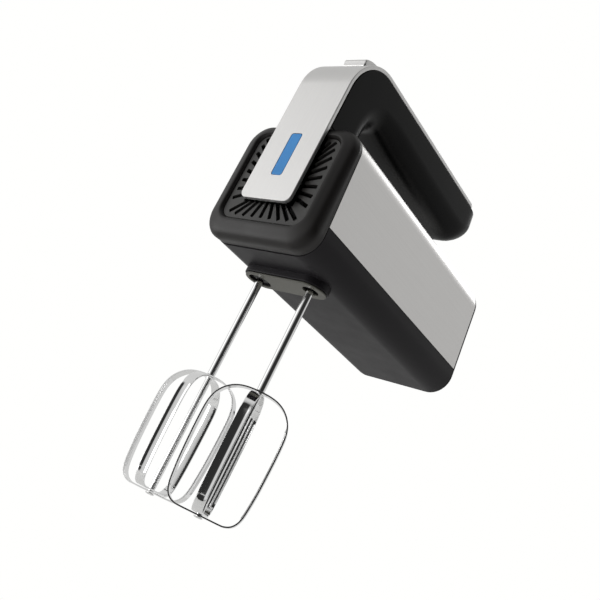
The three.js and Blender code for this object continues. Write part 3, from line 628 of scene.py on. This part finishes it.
grille_black = material("grille_black", skin_group,
                        {"Grain": 1300.0, "Dark": grey(0.026, 0.03), "Light": grey(0.034, 0.04),
                         "Gloss": 0.40, "Matt": 0.50}, 0.3, Specular_IOR_Level=0.4)
settle(grille, grille_black, "black_shell", "housing", "vent_grille")

# ---------------------------------------------------------------------------------------------
# Rear cap: the flat black heel that the mixer stands on between jobs, with a spigot that plugs
# the body and two recessed screws.
# ---------------------------------------------------------------------------------------------



def heel_part(name, rows):
    """A solid in the heel's lean, from outlines at depths in front of its face."""
    part = begin(name)
    first = ring = None
    for half, low, high, r_low, r_high, depth in rows:
        ring = leaning([half, low, high, r_low, r_high, REAR_FOOT + depth, -REAR_LEAN], 12, ring)
        first = first or ring
    cap(first)
    cap(ring)
    end()
    return part


heel = heel_part("heel_cap", [
    [43.6, 7.1, 88.9, 15.6, 13.3, 0.0],
    [44.4, 6.3, 89.7, 16.4, 14.1, -0.15],
    [44.85, 5.85, 90.15, 16.85, 14.55, -0.5],
    [HALF, BOTTOM, TOP, 17.0, 14.7, -1.0],
    [HALF, BOTTOM, TOP, 17.0, 14.7, -2.0],
])
spigot = heel_part("spigot", [[41.4, 8.9, 86.6, 14.0, 10.6, -1.5], [41.4, 8.9, 86.6, 14.0, 10.6, -8.0]])
carve(heel, spigot, "UNION")
room_inside = heel_part("room", [[39.9, 10.4, 85.1, 12.5, 9.1, -2.0], [39.9, 10.4, 85.1, 12.5, 9.1, -9.0]])
carve(heel, room_inside)
screw_face = REAR_FOOT - REAR_LEAN * 22.0


def lie_along_y(x, y0, y1, z, radius, sides=32):
    bpy.ops.mesh.primitive_cylinder_add(vertices=sides, radius=radius * MM, depth=(y1 - y0) * MM,
                                        location=at(x, (y0 + y1) / 2, z), rotation=(math.pi / 2, 0, 0))


seats = begin("seats")
for x in REAR_SCREW_X:
    lie_along_y(x, screw_face - 8, screw_face - 1.2, 22, 5)
end()
carve(heel, seats, "UNION")
sinks = begin("sinks")
for x in REAR_SCREW_X:
    lie_along_y(x, screw_face - 3.2, screw_face + 5, 22, 3.3)
end()
carve(heel, sinks)
screw_ways = begin("screw_ways")
for x in REAR_SCREW_X:
    lie_along_y(x, 130, 180, 22, 1.8)
end()
carve(heel, screw_ways)
soften(heel, 0.2)
settle(heel, black_shell, "black_shell", "housing", "rear_cap")

# ---------------------------------------------------------------------------------------------
# Handle: a black moulded D-shaped grip that rises from the nose, bends back and ends in a
# rounded tail. It is a trough that the silver strap closes, with a tongue down the front.
# ---------------------------------------------------------------------------------------------

BEND_Y, BEND_Z, BEND_R = -20.0, 121.0, 29.3
GRIP_TOP = BEND_Z + BEND_R
GRIP_HALF = 20.9


def grip_rows():
    """Outer point, finger-side point and half width of each section of the grip."""
    leg = [
        [-49.3, 90.6, -13.1, 90.6, GRIP_HALF], [-49.3, 97.0, -13.1, 96.4, GRIP_HALF],
        [-49.3, 104.0, -13.1, 102.0, GRIP_HALF], [-49.3, 111.0, -13.2, 106.0, GRIP_HALF],
        [-49.3, 117.0, -13.1, 109.0, GRIP_HALF],
    ]
    bend = []
    for a in (172.5, 165, 157.5, 150, 142.5, 135, 127.5, 120, 112.5, 105, 97.5, 90):
        c, s = math.cos(math.radians(a)), math.sin(math.radians(a))
        bend.append([BEND_Y + BEND_R * c, BEND_Z + BEND_R * s, 1 + 14 * c, 108 + 14 * s, GRIP_HALF])
    grip = between([
        [-20, GRIP_TOP, 1, 122, GRIP_HALF], [5, GRIP_TOP, 14, 121.3, GRIP_HALF],
        [30, GRIP_TOP, 33, 120, GRIP_HALF], [60, GRIP_TOP, 61, 119, GRIP_HALF],
        [90, GRIP_TOP, 91, 118.3, GRIP_HALF], [112, GRIP_TOP, 112, 118, GRIP_HALF],
    ], 2)[1:]
    tail = between([
        [112, GRIP_TOP, 112, 118, GRIP_HALF], [124, GRIP_TOP, 126, 118.3, GRIP_HALF],
        [130.5, GRIP_TOP, 133, 120.6, 20.7], [135.5, 149.6, 138.5, 124.6, 19.8],
        [139.2, 147.8, 142, 129.6, 17.8], [141.8, 145, 143.6, 134.4, 14.6],
        [142.9, 142.6, 143.9, 137.6, 11.0],
    ], 3)[1:]
    return leg, bend, grip, tail


def d_section(row, inset, lift, before):
    """One section of the grip, its corners round on the finger side and sharp under the strap."""
    oy, oz, iy, iz, half = row
    deep = math.hypot(iy - oy, iz - oz)
    dy, dz = (iy - oy) / deep, (iz - oz) / deep
    far = deep - inset
    middle = (far - lift) / 2
    wide = half - inset
    radius = min(16.5 - inset * 0.6, wide * 0.8, (deep - inset) * 0.6)
    return outline((0, oy + dy * middle, oz + dz * middle), 2 * wide, far + lift, 0.6, radius,
                   lean=math.degrees(math.atan2(dz, dy)), steps=8, before=before)


leg, bend, grip, tail = grip_rows()
shell = begin("grip_shell")
first = ring = None
for row in leg + bend + grip + tail:
    ring = d_section(row, 0.0, 0.0, ring)
    first = first or ring
cap(first)
cap(ring)
end()

tongue = begin("tongue")
first = ring = outline((0, -49.3, 61.7), 40.8, 58.6, 4.0, 0.5, steps=6)
ring = outline((0, -44.6, 61.7), 40.8, 58.6, 4.0, 0.5, steps=6, before=ring)
cap(first)
cap(ring)
end()
carve(shell, tongue, "UNION")

hollow = begin("hollow")
first = ring = None
for row in leg[1:] + bend + grip + tail[:3]:
    ring = d_section(row, 3.0, 2.0, ring)
    first = first or ring
cap(first)
cap(ring)
end()
carve(shell, hollow)
ways = begin("ways")
block((-7, 7), (-36.5, -22.5), (80, 99))
block((-5.2, 5.2), (-52, -46.3), (48, 84))
for x in (-14, 14):
    pin(x, -27, 80, 99, 1.8)
end()
carve(shell, ways)
soften(shell, 0.25, angle=42.0)
handle_black = material("handle_black", skin_group,
                        {"Grain": 1200.0, "Dark": grey(0.0010, -0.04), "Light": grey(0.0020, -0.02),
                         "Gloss": 0.28, "Matt": 0.35}, 0.12, Specular_IOR_Level=0.09)
settle(shell, handle_black, "handle_black", "housing", "handle_shell")

# ---------------------------------------------------------------------------------------------
# Strap: a satin silver strip that lies on the handle, from the front vent over the bend to the
# tail, with a window for the light and a slot for the slider.
# ---------------------------------------------------------------------------------------------

STRAP_GAP, STRAP_T = 0.3, 2.7


def strap_section(y, z, lean, half, before):
    rise = STRAP_GAP + STRAP_T / 2
    out_y, out_z = math.cos(math.radians(lean)), math.sin(math.radians(lean))
    return outline((0, y + out_y * rise, z + out_z * rise), 2 * half, STRAP_T, 0.45, 0.6, lean=lean,
                   steps=3, before=before)


strap = begin("silver_strap")
first = ring = None
rows = []
for i in range(7):
    a = math.radians(15 * i)
    rows.append((-49.3, 32 + 5 * (1 - math.cos(a)), 180.0, 20.9 - 5 * (1 - math.sin(a))))
rows += [(-49.3, 60.0, 180.0, 20.9), (-49.3, 90.0, 180.0, 20.9), (-49.3, 115.0, 180.0, 20.9)]
for i in range(25):
    a = 180.0 - 3.75 * i
    c, s = math.cos(math.radians(a)), math.sin(math.radians(a))
    rows.append((BEND_Y + BEND_R * c, BEND_Z + BEND_R * s, a, 20.9))
rows += [(-10.0, GRIP_TOP, 90.0, 20.9), (30.0, GRIP_TOP, 90.0, 20.9), (60.0, GRIP_TOP, 90.0, 20.9),
         (95.0, GRIP_TOP, 90.0, 20.9)]
for i in range(6, -1, -1):
    a = math.radians(15 * i)
    rows.append((133 - 7.4 * (1 - math.cos(a)), GRIP_TOP, 90.0, 20.9 - 7 * (1 - math.sin(a))))
for y, z, lean, half in rows:
    ring = strap_section(y, z, lean, half, ring)
    first = first or ring
cap(first)
cap(ring)
end()
window = begin("window")
first = ring = outline((0, -56, 65.7), 9.2, 32.0, 2.0, 2.0, steps=5)
ring = outline((0, -48, 65.7), 9.2, 32.0, 2.0, 2.0, steps=5, before=ring)
cap(first)
cap(ring)
end()
carve(strap, window)


def bend_bar(name, half, low, high, start, stop, count):
    """A bar that follows the bend, for the slider's slot and stem."""
    bar = begin(name)
    first = ring = None
    for i in range(count + 1):
        a = start + (stop - start) * i / count
        r = (low + high) / 2
        c, s = math.cos(math.radians(a)), math.sin(math.radians(a))
        ring = outline((0, BEND_Y + r * c, BEND_Z + r * s), 2 * half, high - low, 0.1, 0.1, lean=a, steps=1,
                       before=ring)
        first = first or ring
    cap(first)
    cap(ring)
    end()
    return bar


carve(strap, bend_bar("slot", 2.4, 27, 36, 120.5, 98.5, 4))
soften(strap, 0.2)
satin_silver = material("satin_silver", brush_group,
                        {"Lines": (700.0, 14.0, 14.0), "Dark": grey(0.62, 0.01), "Light": grey(0.65, 0.01),
                         "Gloss": 0.36, "Matt": 0.46}, 0.06, Metallic=0.85)
settle(strap, satin_silver, "strap_silver", "housing", "handle_strap")

# ---------------------------------------------------------------------------------------------
# Indicator lens: a blue moulded light bar, flush in the strap's window, lit by three lamps.
# ---------------------------------------------------------------------------------------------

lens = begin("light_bar")
first = ring = outline((0, -49.7, 65.7), 8.6, 31.4, 1.7, 1.7, steps=5)
ring = outline((0, -52.05, 65.7), 8.6, 31.4, 1.7, 1.7, steps=5, before=ring)
ring = outline((0, -52.25, 65.7), 8.3, 31.1, 1.55, 1.55, steps=5, before=ring)
ring = outline((0, -52.3, 65.7), 7.8, 30.6, 1.3, 1.3, steps=5, before=ring)
cap(first)
cap(ring)
end()
soften(lens, 0.0)
blue_lens = material("blue_lens", skin_group,
                     {"Grain": 500.0, "Dark": (0.042, 0.245, 0.60, 1), "Light": (0.058, 0.285, 0.68, 1),
                      "Gloss": 0.30, "Matt": 0.38}, 0.1, Specular_IOR_Level=0.2)
settle(lens, blue_lens, "lens_blue", "housing", "indicator_lens")

# ---------------------------------------------------------------------------------------------
# Speed slider: a silver moulded block that rides on the bend of the strap; its stem goes through
# the slot to the switch.
# ---------------------------------------------------------------------------------------------

BLOCK_BASE = BEND_R + STRAP_GAP + STRAP_T
slider = begin("slider_block")
first = ring = None
for a, low, half, high in between([[121.0, 0.45, 8.5, 0.9], [119.3, 0.45, 8.9, 3.0], [117.6, 0.45, 9.2, 5.0],
                                   [110.0, 0.45, 9.2, 5.7], [102.0, 0.45, 9.2, 5.9], [90.5, 0.45, 9.0, 5.8],
                                   [87.5, 0.45, 8.7, 5.3], [86.0, 0.45, 8.2, 3.6]], 3):
    r = BLOCK_BASE + (low + high) / 2
    c, s = math.cos(math.radians(a)), math.sin(math.radians(a))
    edge = min(1.0, (high - low) * 0.4)
    ring = outline((0, BEND_Y + r * c, BEND_Z + r * s), 2 * half, high - low, 0.25, edge,
                   lean=a, steps=4, before=ring)
    first = first or ring
cap(first)
cap(ring)
end()
carve(slider, bend_bar("stem", 2.0, 25.5, BLOCK_BASE + 1.5, 107.5, 99.5, 2), "UNION")
soften(slider, 0.2, angle=42.0)
settle(slider, satin_silver, "strap_silver", "speed_control", "speed_slider")

# ---------------------------------------------------------------------------------------------
# Beaters: a round chromed shaft with two flat strips bent round it, crossed, and riveted to it at
# the top and the tip. A channel is pressed down each side of a strip to stiffen it.
# ---------------------------------------------------------------------------------------------

TIP = -151.2


def turned(name, x, profile, sides=40):
    """A round piece about an upright axis, from its radius and height at each step."""
    piece = begin(name)
    first = ring = None
    for radius, z in profile:
        bpy.ops.mesh.primitive_circle_add(vertices=sides, radius=radius * MM, fill_type="NGON",
                                          location=at(x, 0, z))
        ring = skin(ring)
        first = first or ring
    return piece, first, ring


def shaft(side, x):
    profile = [(1.2, TIP - 1.4), (2.2, TIP - 1.25), (2.75, TIP - 0.95), (2.9, TIP - 0.6), (2.75, TIP - 0.35),
               (2.0, TIP - 0.2), (2.0, -70.6), (2.6, -70.3), (2.6, 33.6), (2.4, 34.6), (1.9, 35.5),
               (1.4, 36.0)]
    piece, low, high = turned(f"shaft_{side}", x, profile)
    cap(low)
    cap(high)
    end()
    soften(piece, 0.0)
    return piece


side_line = between([[3.4, -70.8], [8, -71.2], [12.8, -72.3], [17.4, -74.5], [21.4, -78], [24.2, -82.2],
                     [25.8, -87], [26.5, -93], [26.6, -104], [26.3, -116], [25.8, -127], [25, -136],
                     [24.2, -141.6], [22.7, -146], [20, -149.2], [16.2, -150.9], [12, TIP], [3.4, TIP]], 5)
STRIP_T = 0.9
ACROSS = [-3.25, -2.75, -1.7, -1.2, 1.2, 1.7, 2.75, 3.25]
PRESSED = [0.0, 0.0, 0.62, 0.75, 0.75, 0.62, 0.0, 0.0]


def strip(name, x, inset, turn):
    """One closed strip: a grid laid along the loop, its channel pressed in, then given its thickness."""
    path = side_line + [[-r, z] for r, z in reversed(side_line)]
    count = len(path)
    piece = begin(name)
    bpy.ops.mesh.primitive_grid_add(x_subdivisions=count, y_subdivisions=len(ACROSS) - 1, size=2.0)
    shape = bmesh.from_edit_mesh(piece.data)
    spin = Matrix.Rotation(math.radians(turn), 3, "Z")
    for v in shape.verts:
        i = round((v.co.x + 1.0) / 2.0 * count) % count
        j = round((v.co.y + 1.0) / 2.0 * (len(ACROSS) - 1))
        r, z = path[i]
        before, after = path[i - 1], path[(i + 1) % count]
        dr, dz = after[0] - before[0], after[1] - before[1]
        length = math.hypot(dr, dz)
        inward = Vector((dz / length, 0.0, -dr / length))
        end_room = min(-84.0 - z, z + 143.5)
        press = PRESSED[j] * min(max(end_room / 1.6 - abs(ACROSS[j]) * 0.25 + 0.4, 0.0), 1.0)
        flat = Vector((r, ACROSS[j], 0.0)) + inward * (inset + press)
        spun = spin @ Vector((flat.x, flat.y, 0.0))
        v.co = at(x + spun.x, spun.y, z + flat.z)
    bpy.ops.mesh.select_all(action="SELECT")
    bpy.ops.mesh.remove_doubles(threshold=0.00002)
    end()
    apply_to(piece, "SOLIDIFY", thickness=STRIP_T * MM, offset=-1.0, use_even_offset=True)
    hole = begin("hole")
    pin(x, 0, -200, 0, 2.35, 32)
    end()
    carve(piece, hole)
    soften(piece, 0.12, angle=50.0, segments=1)
    return piece


chrome = material("chrome", brush_group,
                  {"Lines": (60.0, 60.0, 60.0), "Dark": grey(0.80), "Light": grey(0.86),
                   "Gloss": 0.05, "Matt": 0.12}, 0.0, Metallic=1.0)
for side, x, turn in (("left", -BEATER_X, 18.0), ("right", BEATER_X, 34.0)):
    body = f"{side}_beater"
    settle(shaft(side, x), chrome, "beater_chrome", body, f"beater_shaft_{side}")
    settle(strip(f"strip_outer_{side}", x, 0.0, turn), chrome, "beater_chrome", body,
           f"beater_loop_outer_{side}")
    settle(strip(f"strip_inner_{side}", x, 1.3, turn + 90.0), chrome, "beater_chrome", body,
           f"beater_loop_inner_{side}")

collar, low, high = turned("beater_collar", -BEATER_X, [
    (2.9, 1.9), (5.7, 1.8), (6.05, 1.95), (6.2, 2.3), (6.2, 4.4), (6.05, 4.75), (5.7, 4.9), (2.9, 4.8)])
bridge(high, low)
end()
soften(collar, 0.0)
settle(collar, inner_black, "black_shell", "left_beater", "beater_collar_left")

# ---------------------------------------------------------------------------------------------
# Inside: the drive, the motor, the boards and the screws keep the shapes of the frame and get
# their own finishes.
# ---------------------------------------------------------------------------------------------

nylon = material("dark_nylon", skin_group,
                 {"Grain": 700.0, "Dark": grey(0.030), "Light": grey(0.044), "Gloss": 0.4, "Matt": 0.55}, 0.2)
switch_beige = material("switch_beige", skin_group,
                        {"Grain": 900.0, "Dark": (0.22, 0.20, 0.16, 1), "Light": (0.28, 0.26, 0.21, 1),
                         "Gloss": 0.4, "Matt": 0.55}, 0.2)
board_green = material("board_green", skin_group,
                       {"Grain": 400.0, "Dark": (0.02, 0.12, 0.05, 1), "Light": (0.035, 0.17, 0.075, 1),
                        "Gloss": 0.25, "Matt": 0.4}, 0.15)
bronze = material("sintered_bronze", skin_group,
                  {"Grain": 1600.0, "Dark": (0.34, 0.19, 0.045, 1), "Light": (0.45, 0.27, 0.08, 1),
                   "Gloss": 0.35, "Matt": 0.5}, 0.4, Metallic=1.0)
carbon = material("pressed_carbon", skin_group,
                  {"Grain": 1500.0, "Dark": grey(0.012), "Light": grey(0.03),
                   "Gloss": 0.55, "Matt": 0.75}, 0.5)
ground_steel = material("ground_steel", brush_group,
                        {"Lines": (60.0, 1400.0, 60.0), "Dark": grey(0.42), "Light": grey(0.52),
                         "Gloss": 0.2, "Matt": 0.35}, 0.1, Metallic=1.0)
zinc = material("zinc_plate", skin_group,
                {"Grain": 900.0, "Dark": grey(0.34, 0.01), "Light": grey(0.44, 0.02),
                 "Gloss": 0.3, "Matt": 0.45}, 0.15, Metallic=1.0)
laminations = material("laminations", brush_group,
                       {"Lines": (30.0, 2000.0, 30.0), "Dark": grey(0.10), "Light": grey(0.20),
                        "Gloss": 0.4, "Matt": 0.6}, 0.6, 0.0002, Metallic=0.8)
copper = material("enamelled_copper", brush_group,
                  {"Lines": (1500.0, 1500.0, 60.0), "Dark": (0.30, 0.09, 0.03, 1),
                   "Light": (0.55, 0.20, 0.08, 1), "Gloss": 0.25, "Matt": 0.4}, 0.6, 0.0002, Metallic=0.9)
inside = {
    "gear_frame": nylon, "gear_cover": nylon, "rear_bracket": nylon, "ejector_yoke": nylon,
    "spindle_gear": nylon, "speed_switch": switch_beige, "led_board": board_green,
    "control_board": board_green, "bearing": bronze, "spindle_bush": bronze, "brush_holder": bronze,
    "brush_spring": zinc, "brush_left": carbon, "brush_right": carbon, "armature_shaft": ground_steel,
    "armature_core": laminations, "field_core": laminations, "winding": copper, "field_coil": copper,
    "commutator": copper, "cooling_fan": inner_black, "motor_bolt": zinc, "ejector_spring": zinc,
    "frame_screw": zinc, "cover_screw": zinc, "handle_screw": zinc, "rear_screw": zinc,
}
for name, node in frame["nodes"].items():
    finish = next((inside[key] for key in inside if name.startswith(key)), None)
    if finish:
        node.data.materials.clear()
        node.data.materials.append(finish)
